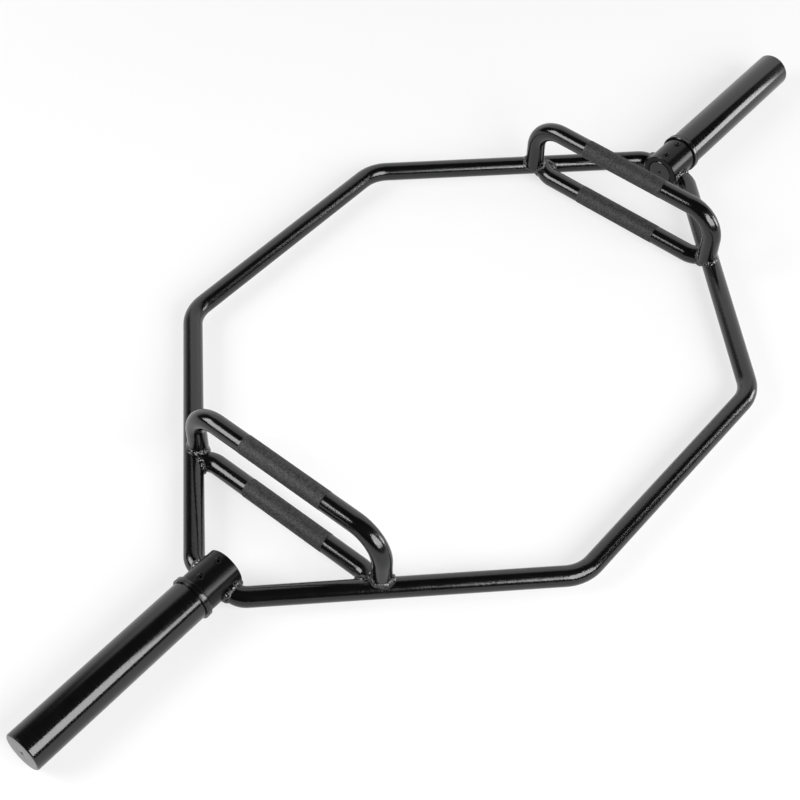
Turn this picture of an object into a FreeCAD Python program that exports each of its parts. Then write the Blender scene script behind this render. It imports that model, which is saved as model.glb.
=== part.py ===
import FreeCAD, Part
import os
from math import cos, pi, radians, sin, tan

Vector = FreeCAD.Vector

# Driving dimensions in millimetres. X runs along the two sleeves, Y along the
# handles and Z up. The bar lies on its two stop rings, so z = 0 is the floor.

# Sleeves: solid turned bars that carry plates with a 50 mm hole.
SLEEVE_RADIUS = 25.0
SLEEVE_LENGTH = 247.1
SLEEVE_END_CHAMFER = 1.5
SPIGOT_CHAMFER = 1.0
CENTRE_HOLE_RADIUS = 1.5
CENTRE_HOLE_DEPTH = 7.0
CENTRE_SINK = 0.8

# Sockets: short thick tubes welded into the frame; a spigot fits in each. The inset
# is from a socket's inner end to the middle of the frame bars that meet it.
SOCKET_RADIUS = 25.0
SOCKET_WALL = 6.95
SOCKET_LENGTH = 50.0
SOCKET_INSET = 17.0
SOCKET_CHAMFER = 0.8
SPIGOT_CLEARANCE = 0.05

# Stop rings: collars on the spigots that the plates are pushed against. The lip is
# how far one stands out above the sleeve.
STOP_LIP = 2.75
STOP_WIDTH = 7.5
STOP_ROUND = 1.2
STOP_GAP = 0.4
STOP_CLEARANCE = 0.02

# Set screws: two in the crown of each socket clamp the spigot, each the same inset
# from its end of the socket.
SCREW_INSET = 11.0
SCREW_RADIUS = 4.0
SCREW_CHAMFER = 0.6
SCREW_SINK = 1.2
SCREW_TIP_GAP = 0.05
THREAD_CLEARANCE = 0.05
THREAD_COUNTERSINK = 0.8
HEX_ACROSS_FLATS = 4.0
HEX_DEPTH = 3.0

# Frame: two bent round bars, front and rear, make the hexagon. Each is split into
# its straight side and two bent arms, so that every node keeps a simple shape. At
# LEG_Y from the sleeve axis the arms turn to meet the sockets squarely.
BAR_RADIUS = 12.5
FRAME_DROP = 8.0
SIDE_Y = 313.0
CORNER_X = 179.5
SLANT_DEGREES = 45.0
LEG_Y = 35.5
ARM_LEAD = 5.0
CORNER_BEND = 50.0
TURN_BEND = 24.0

# Handles: on each side a low grip, whose ends turn to meet the slanted bars of the
# frame squarely, and a raised U-shaped grip above it. The insets are from the middle
# of the slanted bar, along the handle.
GRIP_X = 338.0
LOW_TURN_INSET = 31.5
POST_INSET = 9.5
GRIP_RISE = 83.0
GRIP_BEND = 40.0
KNURL_HALF_LENGTH = 62.0
KNURL_RISE = 0.3

# Welds: how far a bead reaches over each piece that it joins. The bead round a
# post starts at one level above the frame's middle; the bead at the end of the low
# grip goes on below it.
WELD_ON_FRAME = 5.0
WELD_ON_PIECE = 4.0
POST_WELD_LEVEL = 8.0
WELD_BELOW = 1.0
WELD_GAP = 0.1
FIT_UP = 0.3
POST_FOOT = 5.0

# Heights and places that follow from the values above.
STOP_RADIUS = SLEEVE_RADIUS + STOP_LIP
AXIS_Z = STOP_RADIUS
FRAME_Z = AXIS_Z - FRAME_DROP
GRIP_Z = FRAME_Z + GRIP_RISE
SPIGOT_RADIUS = SOCKET_RADIUS - SOCKET_WALL - SPIGOT_CLEARANCE
SLANT = tan(radians(SLANT_DEGREES))
SIDE_END_X = CORNER_X - CORNER_BEND * tan(radians(SLANT_DEGREES) / 2) - ARM_LEAD
LEG_X = CORNER_X + (SIDE_Y - LEG_Y) / SLANT
SOCKET_INNER_X = LEG_X - SOCKET_INSET
SOCKET_OUTER_X = SOCKET_INNER_X + SOCKET_LENGTH
SCREW_X = {"inner": SOCKET_INNER_X + SCREW_INSET, "outer": SOCKET_OUTER_X - SCREW_INSET}
STOP_INNER_X = SOCKET_OUTER_X + STOP_GAP
SHOULDER_X = STOP_INNER_X + STOP_WIDTH
SLEEVE_END_X = SHOULDER_X + SLEEVE_LENGTH
SLANT_Y = SIDE_Y - (GRIP_X - CORNER_X) * SLANT
POST_Y = SLANT_Y - POST_INSET
LOW_TURN_Y = SLANT_Y - LOW_TURN_INSET
LOW_RUN = LOW_TURN_INSET / (1 + SLANT ** 2)
LOW_END = Vector(GRIP_X + LOW_RUN * SLANT, LOW_TURN_Y + LOW_RUN, FRAME_Z)
JOINT_REACH = 4 * BAR_RADIUS

X_AXIS = Vector(1, 0, 0)
Y_AXIS = Vector(0, 1, 0)
Z_AXIS = Vector(0, 0, 1)


def turned(outline):
    """Solid of revolution about the sleeve axis; outline holds (x, radius) pairs."""
    corners = [Vector(x, 0, AXIS_Z + radius) for x, radius in outline]
    face = Part.Face(Part.makePolygon(corners + corners[:1]))
    return face.revolve(Vector(0, 0, AXIS_Z), X_AXIS, 360)


def upright(outline, x):
    """Solid of revolution about a vertical line; outline holds (radius, z) pairs."""
    corners = [Vector(x + radius, 0, z) for radius, z in outline]
    face = Part.Face(Part.makePolygon(corners + corners[:1]))
    return face.revolve(Vector(x, 0, 0), Z_AXIS, 360)


def cylinder(radius, start, end):
    """Round bar between two points."""
    return Part.makeCylinder(radius, (end - start).Length, start, end - start)


def bent_path(corners, bends):
    """Line through the corners, with an arc of the given radius at each inner one."""
    edges = []
    start = corners[0]
    for before, corner, after, bend in zip(corners, corners[1:], corners[2:], bends):
        inward = (before - corner).normalize()
        outward = (after - corner).normalize()
        half_turn = (pi - inward.getAngle(outward)) / 2
        reach = bend * tan(half_turn)
        centre = corner + (inward + outward).normalize() * (bend / cos(half_turn))
        middle = centre + (corner - centre).normalize() * bend
        arc_start = corner + inward * reach
        arc_end = corner + outward * reach
        edges.append(Part.makeLine(start, arc_start))
        edges.append(Part.Arc(arc_start, middle, arc_end).toShape())
        start = arc_end
    edges.append(Part.makeLine(start, corners[-1]))
    return Part.Wire(edges)


def bent_bar(corners, bends, radius):
    """Round bar of one radius carried along a bent path."""
    direction = corners[1] - corners[0]
    rim = Part.Wire(Part.makeCircle(radius, corners[0], direction))
    return bent_path(corners, bends).makePipe(Part.Face(rim))


def side_bar():
    """Straight rear side of the hexagon, between the leads of its two arms."""
    end = Vector(SIDE_END_X, SIDE_Y, FRAME_Z)
    return cylinder(BAR_RADIUS, Vector(-end.x, end.y, end.z), end)


def arm(radius):
    """Bent right rear arm of the hexagon, running on into the socket."""
    run = [(SIDE_END_X, SIDE_Y), (CORNER_X, SIDE_Y), (LEG_X, LEG_Y), (LEG_X, 0)]
    corners = [Vector(x, y, FRAME_Z) for x, y in run]
    return bent_bar(corners, [CORNER_BEND, TURN_BEND], radius)


def socket_block(radius):
    """Full cylinder over the socket's length, for coping the bars that meet it."""
    inner = Vector(SOCKET_INNER_X, 0, AXIS_Z)
    outer = Vector(SOCKET_OUTER_X, 0, AXIS_Z)
    return cylinder(radius, inner, outer)


def slanted_stretch(radius):
    """Straight stretch of an arm that the rear ends of the grips meet."""
    along = Vector(1, -SLANT, 0).normalize() * JOINT_REACH
    return cylinder(radius, LOW_END - along, LOW_END + along)


def low_grip(radius):
    """Low grip, its turned ends running on to the frame's centre lines."""
    half = [(GRIP_X, LOW_TURN_Y), (LOW_END.x, LOW_END.y)]
    run = [(x, -y) for x, y in half[::-1]] + half
    corners = [Vector(x, y, FRAME_Z) for x, y in run]
    return bent_bar(corners, [TURN_BEND, TURN_BEND], radius)


def raised_grip(radius):
    """U-shaped grip whose posts stop just above the frame's middle."""
    foot, top = FRAME_Z + POST_FOOT, GRIP_Z
    run = [(-POST_Y, foot), (-POST_Y, top), (POST_Y, top), (POST_Y, foot)]
    corners = [Vector(GRIP_X, y, z) for y, z in run]
    return bent_bar(corners, [GRIP_BEND, GRIP_BEND], radius)


def post(radius, level):
    """Rear upright of the raised grip, from a level above the frame's middle."""
    foot = Vector(GRIP_X, POST_Y, FRAME_Z + level)
    return cylinder(radius, foot, foot + Z_AXIS * JOINT_REACH)


def knurl(z):
    """Band that the knurling raises above the plain bar in the middle of a grip."""
    start = Vector(GRIP_X, -KNURL_HALF_LENGTH, z)
    end = Vector(GRIP_X, KNURL_HALF_LENGTH, z)
    return cylinder(BAR_RADIUS + KNURL_RISE, start, end)


def sleeve():
    """Plate sleeve and its spigot in one turning, with a centre hole in each end."""
    hole = CENTRE_HOLE_RADIUS
    sink = hole + CENTRE_SINK
    inner, outer = SOCKET_INNER_X, SLEEVE_END_X
    return turned([
        (inner + CENTRE_HOLE_DEPTH, 0),
        (inner + CENTRE_HOLE_DEPTH, hole),
        (inner + CENTRE_SINK, hole),
        (inner, sink),
        (inner, SPIGOT_RADIUS - SPIGOT_CHAMFER),
        (inner + SPIGOT_CHAMFER, SPIGOT_RADIUS),
        (SHOULDER_X, SPIGOT_RADIUS),
        (SHOULDER_X, SLEEVE_RADIUS),
        (outer - SLEEVE_END_CHAMFER, SLEEVE_RADIUS),
        (outer, SLEEVE_RADIUS - SLEEVE_END_CHAMFER),
        (outer, sink),
        (outer - CENTRE_SINK, hole),
        (outer - CENTRE_HOLE_DEPTH, hole),
        (outer - CENTRE_HOLE_DEPTH, 0),
    ])


def stop_ring():
    """Collar between the socket and the sleeve's shoulder, with rounded rims."""
    bore = SPIGOT_RADIUS + STOP_CLEARANCE
    ring = turned([
        (STOP_INNER_X, bore),
        (STOP_INNER_X, STOP_RADIUS),
        (SHOULDER_X, STOP_RADIUS),
        (SHOULDER_X, bore),
    ])
    rims = [
        edge for edge in ring.Edges
        if isinstance(edge.Curve, Part.Circle) and edge.Curve.Radius > bore
    ]
    return ring.makeFillet(STOP_ROUND, rims)


def socket():
    """Socket tube with chamfered rims and two threaded holes through its crown."""
    bore = SPIGOT_RADIUS + SPIGOT_CLEARANCE
    rim = SOCKET_RADIUS - SOCKET_CHAMFER
    body = turned([
        (SOCKET_INNER_X, bore),
        (SOCKET_INNER_X, rim),
        (SOCKET_INNER_X + SOCKET_CHAMFER, SOCKET_RADIUS),
        (SOCKET_OUTER_X - SOCKET_CHAMFER, SOCKET_RADIUS),
        (SOCKET_OUTER_X, rim),
        (SOCKET_OUTER_X, bore),
    ])
    crown = AXIS_Z + SOCKET_RADIUS
    hole = SCREW_RADIUS + THREAD_CLEARANCE
    mouth = hole + THREAD_COUNTERSINK
    for x in SCREW_X.values():
        body = body.cut(upright([
            (0, AXIS_Z),
            (hole, AXIS_Z),
            (hole, crown - THREAD_COUNTERSINK),
            (mouth, crown),
            (mouth, crown + THREAD_COUNTERSINK),
            (0, crown + THREAD_COUNTERSINK),
        ], x))
    return body


def set_screw(x):
    """Flat-point set screw with a hexagon socket, just clear of the round spigot."""
    tip = AXIS_Z + SPIGOT_RADIUS + SCREW_TIP_GAP
    top = AXIS_Z + SOCKET_RADIUS - SCREW_SINK
    neck = SCREW_RADIUS - SCREW_CHAMFER
    body = upright([
        (0, tip),
        (neck, tip),
        (SCREW_RADIUS, tip + SCREW_CHAMFER),
        (SCREW_RADIUS, top - SCREW_CHAMFER),
        (neck, top),
        (0, top),
    ], x)
    corner = HEX_ACROSS_FLATS / 2 / cos(pi / 6)
    turns = [pi / 3 * step for step in range(7)]
    ring = [Vector(x + corner * cos(a), corner * sin(a), top) for a in turns]
    return body.cut(Part.Face(Part.makePolygon(ring)).extrude(Z_AXIS * -HEX_DEPTH))


def floor_block(level):
    """Everything near a grip's end that is above a level, for trimming a bead."""
    corner = LOW_END + Vector(-JOINT_REACH, -JOINT_REACH, level)
    return Part.makeBox(2 * JOINT_REACH, 2 * JOINT_REACH, 2 * JOINT_REACH, corner)


def without(shape, tools):
    """Shape with every tool cut away in turn."""
    for tool in tools:
        shape = shape.cut(tool)
    return shape


def across(shape, normal):
    """Mirror image in the bar's middle plane with the given normal."""
    return shape.mirror(Vector(0, 0, 0), normal)


def largest(shape):
    """Biggest solid of a shape, without the crumbs that cutting leaves."""
    return max(shape.Solids, key=lambda solid: solid.Volume)


# The bar is the same left and right, front and rear: each piece is drawn once, at
# the right or at the rear, and mirrored.
right = {"socket": socket(), "sleeve": sleeve(), "stop_ring": stop_ring()}
for place, x in SCREW_X.items():
    right[place + "_set_screw"] = set_screw(x)

coping_bar = slanted_stretch(BAR_RADIUS + FIT_UP)
copes = [coping_bar, across(coping_bar, Y_AXIS)]
low = without(low_grip(BAR_RADIUS), copes)
raised = without(raised_grip(BAR_RADIUS), [low_grip(BAR_RADIUS + FIT_UP)] + copes)
right["low_grip"] = low.fuse(knurl(FRAME_Z))
right["raised_grip"] = raised.fuse(knurl(GRIP_Z))

full_arm = arm(BAR_RADIUS)
at_socket = arm(BAR_RADIUS + WELD_ON_FRAME)
at_socket = at_socket.common(socket_block(SOCKET_RADIUS + WELD_ON_PIECE))
thick_bar = slanted_stretch(BAR_RADIUS + WELD_ON_PIECE)
at_grip = thick_bar.common(low_grip(BAR_RADIUS + WELD_ON_FRAME))
at_grip = at_grip.common(floor_block(-BAR_RADIUS - WELD_BELOW))
at_post = thick_bar.common(post(BAR_RADIUS + WELD_ON_FRAME, POST_WELD_LEVEL))
post_room = post(BAR_RADIUS + WELD_ON_FRAME + WELD_GAP, POST_WELD_LEVEL - WELD_GAP)
bars = [slanted_stretch(BAR_RADIUS), low_grip(BAR_RADIUS), post(BAR_RADIUS, POST_FOOT)]
right_rear = {
    "arm": without(full_arm, [socket_block(SOCKET_RADIUS + FIT_UP)]),
    "socket_weld": without(at_socket, [socket_block(SOCKET_RADIUS), full_arm]),
    "grip_weld": without(at_grip, [post_room] + bars),
    "post_weld": without(at_post, bars),
}

solids = {"rear_side_bar": side_bar()}
solids["front_side_bar"] = across(solids["rear_side_bar"], Y_AXIS)
for name, shape in right.items():
    solids["right_" + name] = shape
    solids["left_" + name] = across(shape, X_AXIS)
for name, shape in right_rear.items():
    piece = largest(shape)
    solids["right_rear_" + name] = piece
    solids["right_front_" + name] = across(piece, Y_AXIS)
    solids["left_rear_" + name] = across(piece, X_AXIS)
    solids["left_front_" + name] = across(across(piece, X_AXIS), Y_AXIS)

os.makedirs("parts", exist_ok=True)
for node, shape in solids.items():
    shape = shape.removeSplitter()
    shape.exportStep("parts/" + node + ".step")
    print(node, len(shape.Solids), round(shape.Volume), shape.isValid())
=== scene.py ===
# %% [markdown]
# # A hex trap bar
# The real object is a hexagon of 25 mm round steel that a lifter stands inside. It has a low and a
# raised handle on each side and a thick sleeve for plates at each end, and all of it is coated black.
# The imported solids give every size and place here. Blender adds what solids can't hold well: the
# knurling that a hand feels, the ripples of the weld beads, the softened edges and the coat.

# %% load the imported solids
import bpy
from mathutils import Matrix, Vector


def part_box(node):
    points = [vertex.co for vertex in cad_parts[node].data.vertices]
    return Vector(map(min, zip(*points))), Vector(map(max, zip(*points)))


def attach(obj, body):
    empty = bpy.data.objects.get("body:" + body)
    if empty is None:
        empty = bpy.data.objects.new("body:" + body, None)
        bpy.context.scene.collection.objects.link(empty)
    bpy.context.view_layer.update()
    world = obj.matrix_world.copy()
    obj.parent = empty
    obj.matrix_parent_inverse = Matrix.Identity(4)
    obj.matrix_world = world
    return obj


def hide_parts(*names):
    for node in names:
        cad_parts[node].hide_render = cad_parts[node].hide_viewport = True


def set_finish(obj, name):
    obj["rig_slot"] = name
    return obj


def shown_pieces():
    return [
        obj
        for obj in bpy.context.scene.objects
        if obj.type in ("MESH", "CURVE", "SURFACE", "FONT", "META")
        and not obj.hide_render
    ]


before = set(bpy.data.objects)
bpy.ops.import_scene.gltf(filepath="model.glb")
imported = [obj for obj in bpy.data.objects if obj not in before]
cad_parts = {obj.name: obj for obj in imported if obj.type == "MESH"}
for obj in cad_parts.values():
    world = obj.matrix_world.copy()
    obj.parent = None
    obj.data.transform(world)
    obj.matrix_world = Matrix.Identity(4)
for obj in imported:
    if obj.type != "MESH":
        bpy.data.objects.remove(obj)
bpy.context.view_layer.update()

# %% the modules that the steps use
from math import cos, pi, radians, sin, tan

import bpy
import numpy as np

# %% [markdown]
# ## Sizes
# A scene can't read the file that drew the solids, but the solids' own boxes tell most sizes, and a
# size that is measured can't drift from the one that was built. The few that no box shows, such as
# the radius of a bend, are written here. All are in millimetres, and a mesh is turned to metres only
# when it is made. Left and right, and front and rear, are mirror images, so one corner is enough.

# %% sizes in millimetres
MM = 0.001
BAR, SPIGOT = 12.5, 18.0
CORNER_BEND, TURN_BEND, GRIP_BEND = 50.0, 24.0, 40.0
LEG_Y, LOW_TURN = 35.5, 31.5
KNURL_HALF, KNURL_RISE = 62.0, 0.3
LOW, HIGH = 0, 1
SIDES = {"left": -1, "right": 1}
ENDS = {"front": -1, "rear": 1}


def box(node):
    """Low and high corner of a solid, in millimetres."""
    return np.array(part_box(node)) / MM


socket_box, ring_box, sleeve_box = box("right_socket"), box("right_stop_ring"), box("right_sleeve")
side_box, arm_box, raised_box = box("rear_side_bar"), box("right_rear_arm"), box("right_raised_grip")
STOP = AXIS_Z = ring_box[HIGH][2] / 2
SOCKET, SLEEVE = socket_box[HIGH][2] - AXIS_Z, sleeve_box[HIGH][2] - AXIS_Z
SOCKET_X, (STOP_X, SHOULDER_X), END_X = socket_box[:, 0], ring_box[:, 0], sleeve_box[HIGH][0]
SIDE_Y, FRAME_Z = side_box[:, 1].mean(), side_box[HIGH][2] - BAR
LEG_X = arm_box[HIGH][0] - BAR
CORNER_X = LEG_X - (SIDE_Y - LEG_Y)
GRIP_X, POST_Y = raised_box[:, 0].mean(), raised_box[HIGH][1] - BAR
POST_FOOT, GRIP_Z = raised_box[LOW][2], raised_box[HIGH][2] - BAR - KNURL_RISE
LOW_TURN_Y = SIDE_Y - (GRIP_X - CORNER_X) - LOW_TURN
print("over all", round(2 * END_X, 1), "mm long and", round(2 * (SIDE_Y + BAR), 1), "mm wide")

# %% [markdown]
# ## Bent bars
# Every bar of this object is a round section carried along straight runs that are joined by arcs,
# which is how a tube bender makes it. A curve object with a bevel could draw that, but a surface
# worked out as a grid lets each end be cut to fit the piece that it meets. So a path is kept as
# points and headings, and any distance along it can be asked for.

# %% paths of straight runs and arcs
def unit(vector):
    """Vector divided by its length."""
    return vector / np.linalg.norm(vector, axis=-1, keepdims=True)


def bent_path(corners, bends, steps=40):
    """Distances, points and headings along runs joined by arcs. At a corner c that turns by f from
    heading u to heading v, the arc starts at c - R tan(f / 2) u, and at angle t it has gone
    R sin(t) along u and R (1 - cos t) along n, the part of v that is square to u."""
    corners = np.asarray(corners, float)
    heads = unit(np.diff(corners, axis=0))
    points, headings = [corners[:1]], [heads[:1]]
    for corner, u, v, bend in zip(corners[1:-1], heads, heads[1:], bends):
        turn = np.arccos(np.clip(u @ v, -1, 1))
        n = unit(v - (v @ u) * u)
        t = np.linspace(0, turn, steps)[:, None]
        start = corner - bend * tan(turn / 2) * u
        points.append(start + bend * np.sin(t) * u + bend * (1 - np.cos(t)) * n)
        headings.append(np.cos(t) * u + np.sin(t) * n)
    points = np.concatenate(points + [corners[-1:]])
    headings = np.concatenate(headings + [heads[-1:]])
    gone = np.concatenate([[0], np.cumsum(np.linalg.norm(np.diff(points, axis=0), axis=1))])
    return gone, points, headings


def along(path, s):
    """Point and heading at distance s, each coordinate interpolated between the path's own."""
    gone, points, headings = path
    place = np.stack([np.interp(s, gone, points[:, k]) for k in range(3)], -1)
    heading = np.stack([np.interp(s, gone, headings[:, k]) for k in range(3)], -1)
    return place, unit(heading)


def bar_point(path, side, s, turn, radius):
    """Point of a round bar: centre(s) + radius (cos(turn) side + sin(turn) heading x side), where
    side is the one direction that is square to the whole path."""
    centre, heading = along(path, s)
    outward = np.cos(turn)[..., None] * side + np.sin(turn)[..., None] * np.cross(heading, side)
    return centre + np.asarray(radius)[..., None] * outward


# %% [markdown]
# Where one bar runs into another, its end is coped: cut to a saddle that fits. Boolean cutting would
# do it, and leave ragged faces. Here each line along the bar looks for its own end, the place where
# the distance to the other piece's surface has fallen to a chosen value.

# %% distance to a bar and where a bar meets it
HALVINGS = 40


def clearance(points, path, radius):
    """Distance from points to a round bar's surface: to the nearest run of its path, less its
    radius. The nearest place on a run a b is a + clip((p - a).(b - a) / |b - a|^2, 0, 1) (b - a)."""
    a, b = path[1][:-1], path[1][1:]
    run = b - a
    kept = np.linalg.norm(run, axis=1) > 0
    a, run = a[kept], run[kept]
    to = points[..., None, :] - a
    share = np.clip((to * run).sum(-1) / (run ** 2).sum(-1), 0, 1)
    return np.linalg.norm(to - share[..., None] * run, axis=-1).min(-1) - radius


def meeting(path, side, turn, radius, outside, inside, depth, base):
    """Distance along a bar at which each of its side lines is a depth inside the base, found by
    halving the stretch between a distance that is outside and one that is inside many times."""
    low, high = np.full_like(turn, outside), np.full_like(turn, inside)
    for _ in range(HALVINGS):
        middle = (low + high) / 2
        within = base(bar_point(path, side, middle, turn, radius + 0 * turn)) < -depth
        low, high = np.where(within, low, middle), np.where(within, middle, high)
    return high


# %% [markdown]
# ## From a grid to a mesh
# A grid of points that wraps round in one direction is a tube, and in both it is a ring. The faces
# are index arithmetic on whole arrays, and a tube's two open ends are closed with a fan to a middle
# point, so every mesh is watertight with its faces outwards.

# %% grid to mesh
UP, ACROSS = np.array([0.0, 0.0, 1.0]), np.array([1.0, 0.0, 0.0])


def quads(rows, columns, ring):
    """Index quads of a grid whose columns wrap; its rows wrap too where it is a ring."""
    i, j = np.meshgrid(np.arange(rows if ring else rows - 1), np.arange(columns), indexing="ij")
    i1, j1 = (i + 1) % rows, (j + 1) % columns
    return np.stack([i * columns + j, i * columns + j1, i1 * columns + j1, i1 * columns + j], -1)


def outward(points, faces):
    """Faces as they are, or all turned round where the volume that they enclose is negative: the
    sum of p0.(p1 x p2) / 6 over the triangles of each face."""
    volume = 0
    for part in faces:
        p = points[part]
        volume += sum((p[:, 0] * np.cross(p[:, k], p[:, k + 1])).sum()
                      for k in range(1, part.shape[1] - 1))
    return [part[:, ::-1] for part in faces] if volume < 0 else faces


def new_piece(name, points, faces, body, slot, nodes):
    """Mesh object from arrays of points in millimetres and index faces; it rides on a body, takes a
    record slot and stands for the named nodes."""
    mesh = bpy.data.meshes.new(name)
    mesh.from_pydata((points * MM).tolist(), [],
                     [f for part in outward(points, faces) for f in part.tolist()])
    mesh.polygons.foreach_set("use_smooth", np.ones(len(mesh.polygons), bool))
    piece = bpy.data.objects.new(name, mesh)
    bpy.context.scene.collection.objects.link(piece)
    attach(piece, body)
    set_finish(piece, slot)
    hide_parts(*nodes)
    print(name, len(mesh.vertices), "points", len(mesh.polygons), "faces")
    return piece


def closed_tube(grid):
    """Points and faces of a tube grid with a fan to the middle of each end."""
    rows, columns, _ = grid.shape
    points = np.concatenate([grid.reshape(-1, 3), grid[0].mean(0)[None], grid[-1].mean(0)[None]])
    j = np.arange(columns)
    j1 = (j + 1) % columns
    first, last = rows * columns + 0 * j, rows * columns + 1 + 0 * j
    start = np.stack([first, j1, j], -1)
    end = np.stack([last, (rows - 1) * columns + j, (rows - 1) * columns + j1], -1)
    return points, [quads(rows, columns, False).reshape(-1, 4), start, end]


def mirrored(points, x, y):
    """Points of the right rear corner of the bar, carried to the corner with signs x and y."""
    return points * np.array([x, y, 1.0])


# %% [markdown]
# ## The hexagon
# Each half of the hexagon is one bar bent at two corners, with short turned ends that run into the
# sockets. The solids split it into a side and two arms; here it is whole again, so no seam shows.
# Each line along the bar stops one millimetre inside the socket, where the weld hides it.

# %% frame bars
AROUND, ROWS, COPE = 72, 360, 1.0
turn = np.linspace(0, 2 * pi, AROUND, endpoint=False)
half = [(LEG_X, 0), (LEG_X, LEG_Y), (CORNER_X, SIDE_Y)]
frame_path = bent_path(
    [(-x, y, FRAME_Z) for x, y in half] + [(x, y, FRAME_Z) for x, y in half[::-1]],
    [TURN_BEND, CORNER_BEND, CORNER_BEND, TURN_BEND])
sockets = [bent_path([(s * SOCKET_X[0], 0, AXIS_Z), (s * SOCKET_X[1], 0, AXIS_Z)], [])
           for s in SIDES.values()]


def in_sockets(points):
    """Distance to the nearer of the two sockets."""
    return np.minimum(clearance(points, sockets[0], SOCKET), clearance(points, sockets[1], SOCKET))


whole = frame_path[0][-1]
first = meeting(frame_path, UP, turn, BAR, LEG_Y, 0, COPE, in_sockets)
last = meeting(frame_path, UP, turn, BAR, whole - LEG_Y, whole, COPE, in_sockets)
share = np.linspace(0, 1, ROWS)[:, None]
frame_grid = bar_point(frame_path, UP, first + (last - first) * share, turn + 0 * share,
                       BAR + 0 * share * turn)
for end, y in ENDS.items():
    points, faces = closed_tube(mirrored(frame_grid, 1, y))
    new_piece(end + "_frame_bar", points, faces, "frame", "frame_coat",
              [end + "_side_bar"] + [s + "_" + end + "_arm" for s in SIDES])

# %% [markdown]
# ## Knurled handles
# The low handle is a straight run in the plane of the frame, with short ends turned into the slants.
# The raised one is a U on two posts, and each post stands over a corner where the low handle meets
# the frame. Both are the same round bar as the hexagon, so the same path and cope serve them.

# %% handle paths and where their ends meet the frame
low_end = np.array([GRIP_X + LOW_TURN / 2, LOW_TURN_Y + LOW_TURN / 2])
low_path = bent_path(
    [(low_end[0], -low_end[1], FRAME_Z), (GRIP_X, -LOW_TURN_Y, FRAME_Z),
     (GRIP_X, LOW_TURN_Y, FRAME_Z), (low_end[0], low_end[1], FRAME_Z)], [TURN_BEND, TURN_BEND])
raised_path = bent_path(
    [(GRIP_X, -POST_Y, POST_FOOT), (GRIP_X, -POST_Y, GRIP_Z), (GRIP_X, POST_Y, GRIP_Z),
     (GRIP_X, POST_Y, POST_FOOT)], [GRIP_BEND, GRIP_BEND])
front_path = (frame_path[0], mirrored(frame_path[1], 1, -1), mirrored(frame_path[2], 1, -1))
low_whole, raised_whole = low_path[0][-1], raised_path[0][-1]
print("low handle", round(low_whole), "mm and raised handle", round(raised_whole), "mm along")


def in_frame(points):
    """Distance to the nearer frame bar."""
    return np.minimum(clearance(points, frame_path, BAR), clearance(points, front_path, BAR))


def under_post(points):
    """Distance to what a post stands on: the frame, the low grip or, past both, its own foot. The
    foot counts from a cope above, because a handle's lines run that far into what they meet."""
    bars = np.minimum(in_frame(points), clearance(points, low_path, BAR))
    return np.minimum(bars, points[..., 2] - POST_FOOT - COPE)


# %% [markdown]
# The grip itself is a band that is rolled into small diamonds: two sets of grooves cross each other
# as left and right hand screws do. A bump map would do from afar, but the diamonds are what a hand
# and a raking light feel, so they are real. The grid has four steps to a diamond each way, and each
# cell of it is split along the groove that crosses it.

# %% knurled surface
DIAMONDS, PITCH, STEPS, WORN, PLAIN_ROWS = 42, 3.0, 4, 0.8, 90
PIT_DEPTH = KNURL_RISE / 2
KNURL_ROWS = int(2 * KNURL_HALF / PITCH) * STEPS
AROUND_GRIP = DIAMONDS * STEPS
grip_turn = np.linspace(0, 2 * pi, AROUND_GRIP, endpoint=False)


def diamond(row, column):
    """Height of the knurling from 0 to 1: with a = (row + column) / steps and b = (row - column) /
    steps, each groove is a triangle wave, 1 - |2 frac - 1|; the lower of the two waves is a
    pyramid, and wear takes off its point."""
    wave = [1 - np.abs(2 * np.mod(g / STEPS, 1) - 1) for g in (row + column, row - column)]
    return np.minimum(np.minimum(*wave), WORN) / WORN


def handle_grid(path, side, first, last):
    """Grid of a handle from one cope to the other, with its band of diamonds in the middle. Rows
    run from each cope to the band, then KNURL_ROWS cross the band; a short step leads in and out.
    In the band the radius runs from a pit below the bar to a crest above it. Gives the grid, and
    for each point whether it is in the band and how near it is to a crest."""
    middle = path[0][-1] / 2
    band = np.linspace(-KNURL_HALF, KNURL_HALF, KNURL_ROWS + 1)
    plain = np.linspace(0, 1, PLAIN_ROWS)[:, None]
    edge = KNURL_HALF + KNURL_RISE
    before = first + (middle - edge - first) * plain
    after = middle + edge + (last - middle - edge) * plain
    s = np.concatenate([before, middle + band[:, None] + 0 * grip_turn, after])
    row, column = np.meshgrid(np.arange(KNURL_ROWS + 1), np.arange(AROUND_GRIP), indexing="ij")
    crest, knurled = np.zeros(s.shape), np.zeros(s.shape)
    crest[PLAIN_ROWS:-PLAIN_ROWS] = diamond(row, column)
    knurled[PLAIN_ROWS:-PLAIN_ROWS] = 1
    radius = BAR - PIT_DEPTH * knurled + (KNURL_RISE + PIT_DEPTH) * crest
    return bar_point(path, side, s, grip_turn + 0 * s, radius), knurled, crest


def handle_faces(rows):
    """Faces of a handle: plain quads, and in the band two triangles to a cell, split along the
    groove that runs through it: the falling diagonal where row - column is a whole pitch."""
    cells = quads(rows, AROUND_GRIP, False)
    band = cells[PLAIN_ROWS:rows - 1 - PLAIN_ROWS]
    i, j = np.meshgrid(np.arange(len(band)), np.arange(AROUND_GRIP), indexing="ij")
    falling = (np.mod(i - j, STEPS) == 0)[..., None]
    one = np.where(falling, band[..., [0, 1, 2]], band[..., [0, 1, 3]])
    two = np.where(falling, band[..., [0, 2, 3]], band[..., [1, 2, 3]])
    smooth = np.concatenate([cells[:PLAIN_ROWS], cells[rows - 1 - PLAIN_ROWS:]]).reshape(-1, 4)
    return [smooth, one.reshape(-1, 3), two.reshape(-1, 3)]


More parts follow.
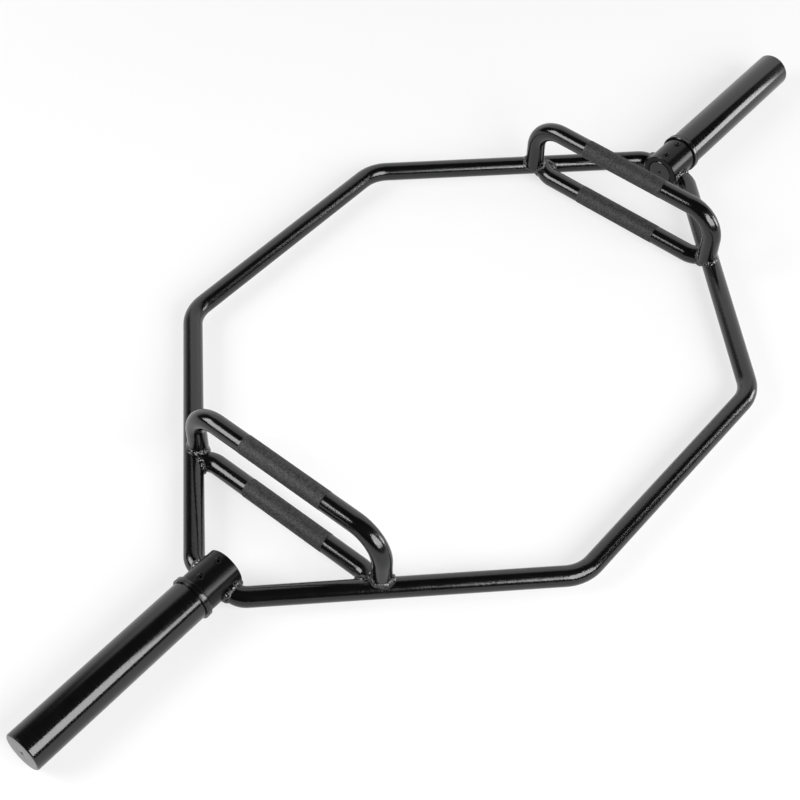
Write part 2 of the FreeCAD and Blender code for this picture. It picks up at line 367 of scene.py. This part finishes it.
def keep_on_points(piece, name, values):
    """Stores one number for each point of a piece, for its material to read."""
    attribute = piece.data.attributes.new(name, "FLOAT", "POINT")
    spare = len(piece.data.vertices) - values.size
    attribute.data.foreach_set("value", np.append(values.ravel(), [0] * spare).astype(np.float32))


# %% low and raised grips
low_ends = [meeting(low_path, UP, grip_turn, BAR, low_whole / 2, s, COPE, in_frame)
            for s in (0, low_whole)]
post_ends = [meeting(raised_path, ACROSS, grip_turn, BAR, raised_whole / 2, s, COPE, under_post)
             for s in (0, raised_whole)]
for kind, path, side_way, ends in (("low_grip", low_path, UP, low_ends),
                                   ("raised_grip", raised_path, ACROSS, post_ends)):
    grid, knurled, crest = handle_grid(path, side_way, *ends)
    for side, x in SIDES.items():
        points, (_, start, end) = closed_tube(mirrored(grid, x, 1))
        grip = new_piece(side + "_" + kind + "_bar", points,
                         handle_faces(len(grid)) + [start, end], "frame", "handle_coat",
                         [side + "_" + kind])
        keep_on_points(grip, "knurled", knurled)
        keep_on_points(grip, "crest", crest)

# %% [markdown]
# ## Weld beads
# A bead fills the corner between two pieces and keeps the ripples of the molten pool, like a row of
# coins that have slid over. Its cross-section is an arch from a toe on one piece to a toe on the
# other. The arch is carried once round the joint, and the ripples and a slight wander of the toes
# come from waves along its length.

# %% bead surface
RIPPLE, FIT, BITE, BEAD_ROWS, BEAD_AROUND = 3.4, 1.5, 0.15, 14, 480
SWELL, FADE, LAG, ROOT_SINK, TOE_STEPS = 0.8, 2.5, 0.9, 2.0, 3
BEAD_FLAT, RIPPLE_HIGH, RIPPLE_SHARP = 0.5, 1.1, 1.5
TOE_WANDER, PHASE_WANDER, CROWN_WANDER = (0.13, 0.09), (0.35, 0.25), (0.2, 0.12)


def slope(field, points, step=0.05):
    """Direction in which a distance field grows fastest, from differences along the three axes."""
    ways = np.eye(3) * step
    return unit(np.stack([field(points + w) - field(points - w) for w in ways], -1))


def soft_least(a, b, blend=1.5):
    """Lesser of two distances with the corner between them rounded: -k log(e^(-a/k) + e^(-b/k))."""
    return -blend * np.logaddexp(-a / blend, -b / blend)


def drift(turn, seed, broad, fine):
    """Unevenness of a hand round a joint: broad sin(3 t + seed) + fine sin(7 t + 2 seed)."""
    return broad * np.sin(3 * turn + seed) + fine * np.sin(7 * turn + 2 * seed)


def bead_grid(path, side, outside, inside, base, solid, on_bar, on_base, seed):
    """Ring grid of a weld bead. The root runs round the bar where the base is a small fit-up away.
    One toe is back along the bar; the other is on the base, square to the root and away from the
    bar. The arch between them is (1 - v)^2 toe + 2 v (1 - v) crown + v^2 toe, with the crown raised
    by the swell and by ripples whose phase lags in the middle, so that each is a crescent. The bead
    thins out by e^(-gap / fade) where no metal is near."""
    turn = np.linspace(0, 2 * pi, BEAD_AROUND, endpoint=False)
    radius = BAR + 0 * turn
    s = meeting(path, side, turn, BAR, outside, inside, -FIT, base)
    root = bar_point(path, side, s, turn, radius)
    run = np.roll(root, -1, 0) - np.roll(root, 1, 0)
    off_bar, off_base = unit(root - along(path, s)[0]), slope(base, root)
    away = unit(np.cross(run, off_base))
    away = away * np.sign((away * off_bar).sum())
    size = np.exp(-np.maximum(solid(root) - FIT, 0) / FADE)
    wander = 1 + drift(turn, seed, *TOE_WANDER)
    back = np.sign(outside - inside)
    toe_bar = bar_point(path, side, s + back * on_bar * wander * size, turn, radius - BITE)
    toe_base = root + away * (on_base * (2 - wander) * size)[:, None]
    for _ in range(TOE_STEPS):
        toe_base = toe_base - slope(base, toe_base) * (base(toe_base) + BITE)[:, None]
    rise = unit(off_bar + off_base)
    gone = np.cumsum(np.linalg.norm(np.roll(root, -1, 0) - root, axis=1))
    v = np.linspace(0, 1, BEAD_ROWS)[:, None]
    phase = np.round(gone[-1] / RIPPLE) * gone / gone[-1] + LAG * 4 * v * (1 - v)
    ripple = 0.5 + 0.5 * np.cos(2 * pi * (phase + drift(turn, 2 * seed, *PHASE_WANDER)))
    height = SWELL * size * (BEAD_FLAT + RIPPLE_HIGH * ripple ** RIPPLE_SHARP
                             + drift(turn, 3 * seed, *CROWN_WANDER))
    crown = (toe_base + toe_bar) / 2 + 2 * height[..., None] * rise
    v = v[..., None]
    arch = (1 - v) ** 2 * toe_base + 2 * v * (1 - v) * crown + v ** 2 * toe_bar
    return np.concatenate([arch, (root - ROOT_SINK * rise)[None]])


# %% the twelve beads
def in_post_bars(points):
    """Distance to the bars that a post's bead can hold on to."""
    return soft_least(in_frame(points), clearance(points, low_path, BAR))


def under_post_bead(points):
    """Distance to what a post's bead lies on, with the corners between the bars rounded."""
    return soft_least(in_post_bars(points), points[..., 2] - POST_FOOT - COPE)


SOCKET_TOES, GRIP_TOES, POST_TOES = (4.2, 4.2), (4.0, 4.2), (4.0, 4.4)
joints = {
    "socket_weld": (frame_path, UP, whole - LEG_Y, whole, in_sockets, in_sockets, *SOCKET_TOES),
    "grip_weld": (low_path, UP, low_whole / 2, low_whole, in_frame, in_frame, *GRIP_TOES),
    "post_weld": (raised_path, ACROSS, raised_whole / 2, raised_whole, under_post_bead,
                  in_post_bars, *POST_TOES),
}
seed = 0
for kind, joint in joints.items():
    for side, x in SIDES.items():
        for end, y in ENDS.items():
            seed += 1
            ring = mirrored(bead_grid(*joint, seed), x, y)
            weld = "_".join([side, end, kind])
            new_piece(weld + "_bead", ring.reshape(-1, 3),
                      [quads(len(ring), BEAD_AROUND, True).reshape(-1, 4)], "frame", "weld_coat",
                      [weld])

# %% [markdown]
# ## Turned pieces
# Sleeves and stop rings come off a lathe, so each is an outline turned about the sleeve axis. The
# outline is a path as well, with the tiny radius that a file leaves on every edge: an edge with no
# radius never catches the light, and that is what gives a computer model away.

# %% lathe
LATHE_AROUND, FILE_EDGE, ON_AXIS, EDGE_STEPS, SAME_POINT = 128, 0.25, 0.01, 7, 1e-6


def outline(corners, edge):
    """Distances along the axis and radii of an outline whose corners are rounded by edge, with no
    point twice in a row."""
    bends = [edge] * (len(corners) - 2)
    points = bent_path([(x, r, 0) for x, r in corners], bends, EDGE_STEPS)[1]
    return points[np.append(True, np.linalg.norm(np.diff(points, axis=0), axis=1) > SAME_POINT)]


def turned(profile):
    """Grid of an outline turned about the sleeve axis: (x, r cos t, axis + r sin t)."""
    t = np.linspace(0, 2 * pi, LATHE_AROUND, endpoint=False)
    x, r = profile[:, 0, None], profile[:, 1, None]
    return np.stack([x + 0 * t, r * np.cos(t), AXIS_Z + r * np.sin(t)], -1)


# %% sleeves
HOLE, SINK, DEEP, CHAMFER, SPIGOT_CHAMFER = 1.5, 2.3, 7.0, 1.5, 1.6
inner, sunk = SOCKET_X[LOW], SINK - HOLE
sleeve_outline = outline([
    (inner + DEEP, ON_AXIS), (inner + DEEP, HOLE), (inner + sunk, HOLE), (inner, SINK),
    (inner, SPIGOT - SPIGOT_CHAMFER), (inner + SPIGOT_CHAMFER, SPIGOT), (SHOULDER_X, SPIGOT),
    (SHOULDER_X, SLEEVE), (END_X - CHAMFER, SLEEVE), (END_X, SLEEVE - CHAMFER), (END_X, SINK),
    (END_X - sunk, HOLE), (END_X - DEEP, HOLE), (END_X - DEEP, ON_AXIS)], FILE_EDGE)
for side, x in SIDES.items():
    points, faces = closed_tube(mirrored(turned(sleeve_outline), x, 1))
    new_piece(side + "_sleeve_turning", points, faces, side + "_sleeve", "sleeve_coat",
              [side + "_sleeve"])

# %% [markdown]
# The stop ring is pushed on against the sleeve's shoulder and takes the push of the plates. Its edges
# are bevelled and a narrow groove runs round it near the shoulder. Both are under a millimetre, and
# they are what draws the thin bright lines round it in a photograph. Its outline is a loop, so the
# grid wraps both ways.

# %% stop rings
BEVEL, GROOVE_IN, GROOVE_WIDE, GROOVE_DEEP, RING_EDGE = 0.9, 1.7, 0.9, 0.45, 0.15
BORE_PLAY, END_PLAY = 0.02, 0.05
bore, outer = SPIGOT + BORE_PLAY, SHOULDER_X - END_PLAY
groove, half_groove = outer - GROOVE_IN, GROOVE_WIDE / 2
middle_bore = ((STOP_X + outer) / 2, bore)
ring_outline = outline([
    middle_bore, (STOP_X, bore), (STOP_X, STOP - BEVEL), (STOP_X + BEVEL, STOP),
    (groove - half_groove, STOP), (groove - half_groove / 2, STOP - GROOVE_DEEP),
    (groove + half_groove / 2, STOP - GROOVE_DEEP), (groove + half_groove, STOP),
    (outer - BEVEL / 2, STOP), (outer, STOP - BEVEL / 2), (outer, bore), middle_bore], RING_EDGE)[:-1]
for side, x in SIDES.items():
    grid = mirrored(turned(ring_outline), x, 1)
    new_piece(side + "_stop_ring_turning", grid.reshape(-1, 3),
              [quads(len(grid), LATHE_AROUND, True).reshape(-1, 4)], side + "_sleeve",
              "sleeve_coat", [side + "_stop_ring"])

# %% [markdown]
# ## Coat
# The bar is powder coated: black powder is baked until it flows, and it sets with the faint dimples
# called orange peel. Up close they are what breaks a highlight into sparkles. One node group makes
# that grain from noise in the object's own coordinates, so that it doesn't swim when a piece moves,
# and each finish sets how large, how deep and how glossy it is.

# %% helpers for nodes
def node_group(name, inputs, outputs):
    """Empty shader node group with named float or colour sockets; gives its tree and its two ends."""
    tree = bpy.data.node_groups.new(name, "ShaderNodeTree")
    for way, sockets_of in (("INPUT", inputs), ("OUTPUT", outputs)):
        for label, kind in sockets_of.items():
            tree.interface.new_socket(label, in_out=way, socket_type="NodeSocket" + kind)
    print("node group", name, sorted(inputs), "to", sorted(outputs))
    return tree, tree.nodes.new("NodeGroupInput"), tree.nodes.new("NodeGroupOutput")


def node(tree, kind, values=None, **settings):
    """New node with its settings, and with its input sockets set to values or linked to outputs."""
    made = tree.nodes.new("ShaderNode" + kind)
    for key, value in settings.items():
        setattr(made, key, value)
    for key, value in (values or {}).items():
        if isinstance(value, bpy.types.NodeSocket):
            tree.links.new(value, made.inputs[key])
        else:
            made.inputs[key].default_value = value
    return made


# %% powder coat
DIMPLE_DETAIL, DIMPLE_ROUGH, CLOUD, CLOUD_DETAIL = 2.0, 0.45, 35.0, 3.0
CLOUD_LOW, CLOUD_HIGH, SHADE_LOW, SHADE_HIGH = 0.3, 0.7, 0.8, 1.2
NOISE_MIDDLE = 0.5
coat_group, taken, given = node_group(
    "powder_coat", {"Colour": "Color", "Grain": "Float", "Gloss": "Float", "Spread": "Float"},
    {"Colour": "Color", "Roughness": "Float", "Height": "Float"})
where = node(coat_group, "TexCoord").outputs["Object"]
dimples = node(coat_group, "TexNoise", {
    "Vector": where, "Scale": taken.outputs["Grain"], "Detail": DIMPLE_DETAIL,
    "Roughness": DIMPLE_ROUGH}).outputs["Fac"]
cloud = node(coat_group, "TexNoise", {"Vector": where, "Scale": CLOUD,
                                      "Detail": CLOUD_DETAIL}).outputs["Fac"]
both = node(coat_group, "Math", {0: dimples, 1: cloud}, operation="ADD").outputs[0]
swing = node(coat_group, "Math", {0: both, 1: 2 * NOISE_MIDDLE}, operation="SUBTRACT").outputs[0]
rough = node(coat_group, "Math", {0: swing, 1: taken.outputs["Spread"], 2: taken.outputs["Gloss"]},
             operation="MULTIPLY_ADD").outputs[0]
shade = node(coat_group, "MapRange", {"Value": cloud, "From Min": CLOUD_LOW, "From Max": CLOUD_HIGH,
                                      "To Min": SHADE_LOW, "To Max": SHADE_HIGH}).outputs[0]
tinted = node(coat_group, "VectorMath", {0: taken.outputs["Colour"], 1: shade},
              operation="MULTIPLY").outputs[0]
for label, made in (("Colour", tinted), ("Roughness", rough), ("Height", dimples)):
    coat_group.links.new(made, given.inputs[label])

# %% [markdown]
# A lathe leaves a fine spiral on what it turns. On a cylinder it shows as rings along the length
# and on an end face as rings round the middle, so one coordinate serves both: the place along the
# axis plus the distance from it.

# %% turning lines
LINE_DETAIL = 2.0
lathe_group, taken, given = node_group("turning_lines", {"Lines": "Float"}, {"Height": "Float"})
apart = node(lathe_group, "SeparateXYZ", {0: node(lathe_group, "TexCoord").outputs["Object"]})
drop = node(lathe_group, "Math", {0: apart.outputs[2], 1: AXIS_Z * MM}, operation="SUBTRACT")
across = node(lathe_group, "CombineXYZ", {0: apart.outputs[1], 1: drop.outputs[0]}).outputs[0]
far = node(lathe_group, "VectorMath", {0: across}, operation="LENGTH").outputs["Value"]
place = node(lathe_group, "Math", {0: apart.outputs[0], 1: far}, operation="ADD").outputs[0]
lines = node(lathe_group, "TexNoise", {"W": place, "Scale": taken.outputs["Lines"],
                                       "Detail": LINE_DETAIL}, noise_dimensions="1D").outputs["Fac"]
lathe_group.links.new(lines, given.inputs["Height"])

# %% [markdown]
# ## Finishes
# The coat is the same black all over, and what lies under it differs, so each finish takes the coat
# and adds its own. Bars have the plain coat. On the sockets it is smoother and reflects less. On the
# welds it flows over the ripples, so they catch small hard glints.

# %% coat on bars, sockets and welds
BLACK = (0.0028, 0.0028, 0.003)
SOCKET_IOR, WELD_IOR = 1.28, 1.65


def coat(name, colour, grain, depth, gloss, spread):
    """Material with the powder coat on a Principled shader: dimples per metre, their depth in
    millimetres, the middle roughness and how far it swings. Gives the material, its tree, and the
    shader, group and bump nodes that a finish may still change."""
    material = bpy.data.materials.new(name)
    material.use_nodes = True
    tree = material.node_tree
    shader = tree.nodes["Principled BSDF"]
    grainy = node(tree, "Group", node_tree=coat_group)
    for label, value in (("Colour", (*colour, 1)), ("Grain", grain), ("Gloss", gloss),
                         ("Spread", spread)):
        grainy.inputs[label].default_value = value
    bump = node(tree, "Bump", {"Height": grainy.outputs["Height"], "Distance": depth * MM})
    tree.links.new(bump.outputs[0], shader.inputs["Normal"])
    tree.links.new(grainy.outputs["Colour"], shader.inputs["Base Color"])
    tree.links.new(grainy.outputs["Roughness"], shader.inputs["Roughness"])
    print("finish", name)
    return material, tree, shader, grainy, bump


frame_coat = coat("black_powder_frame", BLACK, grain=520, depth=0.17, gloss=0.13, spread=0.1)[0]
socket_coat, _, shader, _, _ = coat("black_powder_socket", BLACK, grain=700, depth=0.05, gloss=0.2,
                                    spread=0.06)
shader.inputs["IOR"].default_value = SOCKET_IOR
weld_coat, _, shader, _, _ = coat("black_powder_weld", BLACK, grain=1000, depth=0.15, gloss=0.05,
                                  spread=0.03)
shader.inputs["IOR"].default_value = WELD_IOR

# %% [markdown]
# The handles read two numbers kept on their points. The knurled band is matte, and its colour follows
# the height of the diamonds, dark in the pits and paler on the crests: painted shade in the grooves
# and painted light on the crests. A noise of about a diamond's size mottles how pale each crest is
# painted.

# %% coat on the handles
PIT_PAINTED_SHADE, CREST_PAINTED_LIGHT, BAND_ROUGH = 0.002, 0.045, 0.55
MOTTLE, MOTTLE_DETAIL, MOTTLE_LOW, MOTTLE_HIGH, MOST_CREST_MOTTLE = 420.0, 1.0, 0.35, 0.65, 1.8
handle_coat, tree, shader, grainy, _ = coat("black_powder_handle", BLACK, grain=700, depth=0.09,
                                            gloss=0.13, spread=0.1)
band = node(tree, "Attribute", attribute_name="knurled").outputs["Fac"]
crest = node(tree, "Attribute", attribute_name="crest").outputs["Fac"]
patches = node(tree, "TexNoise", {"Vector": node(tree, "TexCoord").outputs["Object"],
                                  "Scale": MOTTLE, "Detail": MOTTLE_DETAIL}).outputs["Fac"]
wear = node(tree, "MapRange", {"Value": patches, "From Min": MOTTLE_LOW, "From Max": MOTTLE_HIGH,
                               "To Min": 0.0, "To Max": MOST_CREST_MOTTLE}).outputs[0]
mottled_crest = node(tree, "Math", {0: crest, 1: wear}, operation="MULTIPLY").outputs[0]
# painted shade and light: the colour runs from dark in the pits to pale on the crests, with the
# diamonds' height
knurl_painted_light_and_shade = node(tree, "MapRange", {"Value": mottled_crest, "To Min": PIT_PAINTED_SHADE,
                                      "To Max": CREST_PAINTED_LIGHT}, clamp=False).outputs[0]
colour = node(tree, "Mix", {0: band, 6: grainy.outputs["Colour"], 7: knurl_painted_light_and_shade},
              data_type="RGBA").outputs[2]
matte = node(tree, "Mix", {0: band, 2: grainy.outputs["Roughness"], 3: BAND_ROUGH}).outputs[0]
tree.links.new(colour, shader.inputs["Base Color"])
tree.links.new(matte, shader.inputs["Roughness"])

# %% [markdown]
# On the sleeves and stop rings the turning lines show through a thinner coat. Each line is a little
# glossier or duller than the next, and that combs the long highlight across. The set screws aren't
# coated: they are steel that a hot bath has blackened.

# %% coat on turned pieces, and blackened screws
LINES, LINE_DEPTH, LINE_SWING, OXIDE = 650.0, 0.012, 0.4, (0.03, 0.03, 0.032)
sleeve_coat, tree, shader, grainy, bump = coat("black_powder_sleeve", BLACK, grain=700, depth=0.04,
                                               gloss=0.13, spread=0.06)
turned_lines = node(tree, "Group", node_tree=lathe_group)
turned_lines.inputs["Lines"].default_value = LINES
grooves = node(tree, "Bump", {"Height": turned_lines.outputs["Height"],
                              "Distance": LINE_DEPTH * MM, "Normal": bump.outputs[0]})
off_middle = node(tree, "Math", {0: turned_lines.outputs["Height"], 1: NOISE_MIDDLE},
                  operation="SUBTRACT")
combed = node(tree, "Math", {0: off_middle.outputs[0], 1: LINE_SWING,
                             2: grainy.outputs["Roughness"]},
              operation="MULTIPLY_ADD", use_clamp=True).outputs[0]
tree.links.new(grooves.outputs[0], shader.inputs["Normal"])
tree.links.new(combed, shader.inputs["Roughness"])
screw_steel, _, shader, _, _ = coat("black_oxide_screw", OXIDE, grain=1500, depth=0.02, gloss=0.42,
                                    spread=0.1)
shader.inputs["Metallic"].default_value = 1

# %% [markdown]
# A slot of the record names each finish, and every new piece already says which slot it takes. The
# sockets and screws keep their solids, whose holes and hexagons are cut exactly, so only their
# material changes.

# %% finishes on the pieces
finishes = {"frame_coat": frame_coat, "weld_coat": weld_coat, "handle_coat": handle_coat,
            "sleeve_coat": sleeve_coat}
kept_solids = {"socket": ("frame_coat", socket_coat), "set_screw": ("screw_steel", screw_steel)}
for name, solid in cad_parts.items():
    for ending, (slot_name, finish) in kept_solids.items():
        if name.endswith(ending):
            solid.material_slots[0].material = finish
            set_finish(solid, slot_name)
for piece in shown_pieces():
    if not piece.material_slots:
        piece.data.materials.append(finishes[piece["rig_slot"]])

# %% [markdown]
# ## Floor and light
# The bar lies on a white sheet in a studio whose ceiling is dark: the crowns of the near bars are
# black and their flanks mirror the sheet. A gloss black shows its surroundings more than itself, so
# what matters is where the bright panels are. The floor is partly plain white to the camera and to
# reflections, and the rest of it is lit, so that it keeps a soft contact shadow. Away from the bar
# it turns to plain white altogether, because a sheet that fades in the distance draws the eye.

# %% helpers for flat sheets
def flat_sheet(name, corners, material_name):
    """Object of one face with four corners and a new material; gives it and the material's tree."""
    mesh = bpy.data.meshes.new(name)
    mesh.from_pydata(corners.tolist(), [], [(0, 1, 2, 3)])
    flat = bpy.data.objects.new(name, mesh)
    bpy.context.scene.collection.objects.link(flat)
    material = bpy.data.materials.new(material_name)
    material.use_nodes = True
    mesh.materials.append(material)
    print("flat sheet", name)
    return flat, material.node_tree


def mix_surface(tree, share, plain, other):
    """Makes a material's surface: one shader where the share is 0, and the other where it is 1."""
    mixed = node(tree, "MixShader", {0: share, 1: plain, 2: other}).outputs[0]
    tree.links.new(mixed, tree.nodes["Material Output"].inputs["Surface"])


# %% floor
FLOOR_REACH, FLOOR_PLAIN, FLOOR_WHITE, FLOOR_ROUGH = 6.0, 0.65, 0.85, 0.8
PLAIN_FROM, PLAIN_BY = 0.7, 1.6
floor_corners = np.array([(-1, -1, 0), (1, -1, 0), (1, 1, 0), (-1, 1, 0)]) * FLOOR_REACH
floor, tree = flat_sheet("floor", floor_corners, "white_sheet")
paper = tree.nodes["Principled BSDF"]
paper.inputs["Base Color"].default_value = (FLOOR_WHITE, FLOOR_WHITE, FLOOR_WHITE, 1)
paper.inputs["Roughness"].default_value = FLOOR_ROUGH
rays = node(tree, "LightPath").outputs
seen = rays["Is Camera Ray"]
for ray in ("Is Glossy Ray", "Is Transmission Ray"):
    seen = node(tree, "Math", {0: seen, 1: rays[ray]}, operation="MAXIMUM").outputs[0]
out = node(tree, "VectorMath", {0: node(tree, "TexCoord").outputs["Object"]}, operation="LENGTH")
share_plain = node(tree, "MapRange", {"Value": out.outputs["Value"], "From Min": PLAIN_FROM,
                                      "From Max": PLAIN_BY, "To Min": FLOOR_PLAIN, "To Max": 1.0},
                   interpolation_type="SMOOTHSTEP").outputs[0]
plain = node(tree, "Math", {0: seen, 1: share_plain}, operation="MULTIPLY").outputs[0]
mix_surface(tree, plain, paper.outputs[0], node(tree, "Emission").outputs[0])
print("floor", 2 * FLOOR_REACH, "m wide")

# %% [markdown]
# The room round the sheet is dark, apart from a white wall behind the bar. A world can hold it: how
# far a ray's direction leans towards one axis, a dot product, is large over a round patch of the
# surroundings, and a smooth step gives the patch a soft edge. The wall then shows in the bars from
# every side and never stands in a camera's way. To the camera itself the room is plain white, as the
# sheet is, so that the bar can be looked at from low down too.

# %% world
WALL, ROOM, WALL_EDGE = 1.25, 0.01, 0.5
WALL_BEARING, WALL_DIP = radians(26), radians(35)
world = bpy.data.worlds.new("studio")
bpy.context.scene.world = world
world.use_nodes = True
tree = world.node_tree
axis = (cos(WALL_DIP) * cos(WALL_BEARING), cos(WALL_DIP) * sin(WALL_BEARING), -sin(WALL_DIP))
lean = node(tree, "VectorMath", {0: node(tree, "TexCoord").outputs["Generated"], 1: axis},
            operation="DOT_PRODUCT").outputs["Value"]
light = node(tree, "MapRange", {"Value": lean, "From Min": 0.0, "From Max": WALL_EDGE,
                                "To Min": ROOM, "To Max": WALL},
             interpolation_type="SMOOTHSTEP").outputs[0]
tree.nodes["Background"].inputs["Color"].default_value = (1, 1, 1, 1)
rays = node(tree, "LightPath").outputs
strength = node(tree, "Mix", {0: rays["Is Camera Ray"], 2: light, 3: 1.0}).outputs[0]
tree.links.new(strength, tree.nodes["Background"].inputs["Strength"])
bpy.context.scene.view_settings.view_transform = "Standard"
print("wall", WALL, "and room", ROOM)

# %% [markdown]
# A patch of the world is endlessly far away, so it looks the same from both ends of the bar. The far
# end lies close to the sheet where it hangs down behind, and there the crowns mirror it too, so that
# stretch is a real upright sheet. Only reflections see it: to the camera and to the lamps' light it
# is clear, and its brightness fades out at its top and at its left edge.

# %% hanging sheet
SHEET_AWAY, SHEET_BEARING, SHEET_GLOW = 1.8, radians(40), 1.3
SHEET_RIGHT, SHEET_LEFT, SHEET_TOP = -2.6, 2.0, 4.4
FADE_LEFT, FADE_TOP = 1.1, 2.4
away = np.array([cos(SHEET_BEARING), sin(SHEET_BEARING), 0])
leftward = np.array([-sin(SHEET_BEARING), cos(SHEET_BEARING), 0])
w, z = np.array([(SHEET_RIGHT, 0), (SHEET_LEFT, 0), (SHEET_LEFT, SHEET_TOP),
                 (SHEET_RIGHT, SHEET_TOP)]).T[..., None]
hanging, tree = flat_sheet("hanging_sheet", SHEET_AWAY * away + w * leftward + z * UP, "hung_sheet")
spot = node(tree, "TexCoord").outputs["Object"]
left = node(tree, "VectorMath", {0: spot, 1: tuple(leftward)},
            operation="DOT_PRODUCT").outputs["Value"]
height = node(tree, "SeparateXYZ", {0: spot}).outputs[2]
shown = node(tree, "LightPath").outputs["Is Glossy Ray"]
for measure, full, none in ((left, FADE_LEFT, SHEET_LEFT), (height, FADE_TOP, SHEET_TOP)):
    fading = node(tree, "MapRange", {"Value": measure, "From Min": full, "From Max": none,
                                     "To Min": 1.0, "To Max": 0.0},
                  interpolation_type="SMOOTHSTEP").outputs[0]
    shown = node(tree, "Math", {0: shown, 1: fading}, operation="MULTIPLY").outputs[0]
mix_surface(tree, shown, node(tree, "BsdfTransparent").outputs[0],
            node(tree, "Emission", {"Strength": SHEET_GLOW}).outputs[0])
print("hanging sheet", SHEET_LEFT - SHEET_RIGHT, "m wide and", SHEET_TOP, "m high")

# %% [markdown]
# Six soft boxes light the bar. A large one at the back left draws the long streaks on the handles. A
# large one in front, with a wing to its left and a strip to its right, draws those on the near sleeve
# and along the bars that run across the picture. Two small ones to the right draw those on the right
# corner and along the front side. Together they light the sheet to about white and no more.

# %% lamps
def softbox(name, place, size, radiance, dip=0.0):
    """Area lamp at a place in metres, with a width and a height, that looks level towards the bar's
    middle, or dips from that by an angle. Its power is radiance x pi x area, so that its face has
    that brightness."""
    lamp = bpy.data.lights.new(name, "AREA")
    lamp.shape, (lamp.size, lamp.size_y) = "RECTANGLE", size
    lamp.energy = radiance * pi * size[0] * size[1]
    lit = bpy.data.objects.new(name, lamp)
    bpy.context.scene.collection.objects.link(lit)
    lit.location = place
    lit.rotation_euler = (pi / 2 - dip, 0, np.arctan2(place[1], place[0]) + pi / 2)
    print(name, place, round(lamp.energy), "W")


softbox("back_left_panel", (-1.9, 1.72, 1.55), (1.7, 1.5), 9, dip=radians(31))
softbox("front_panel", (-0.325, -2.5, 1.875), (2.1, 2.25), 9.5)
softbox("front_strip", (0.86, -2.5, 1.15), (0.3, 0.85), 9)
softbox("front_wing", (-1.62, -2.5, 1.75), (0.55, 1.1), 9)
softbox("right_strip", (2.25, -1.95, 0.47), (0.9, 1.0), 9, dip=radians(9))
softbox("right_post", (2.15, -2.5, 1.7), (0.17, 2.0), 8)

# %% [markdown]
# ## Camera
# The photograph looks down on the bar from in front of its left end, through a rather long lens. The
# place and turn were found by laying points of the solids over the same points of the picture.

# %% camera
CAMERA_PLACE, CAMERA_TURN = (-1.09029, -0.76940, 1.51886), (39.7904, -0.9628, -50.0485)
LENS, SENSOR = 70.397, 36
camera = bpy.data.objects.new("camera", bpy.data.cameras.new("camera"))
bpy.context.scene.collection.objects.link(camera)
camera.location = CAMERA_PLACE
camera.rotation_euler = [radians(angle) for angle in CAMERA_TURN]
camera.data.lens, camera.data.sensor_width = LENS, SENSOR
bpy.context.scene.camera = camera
print("camera", CAMERA_PLACE, "with a lens of", LENS, "mm")
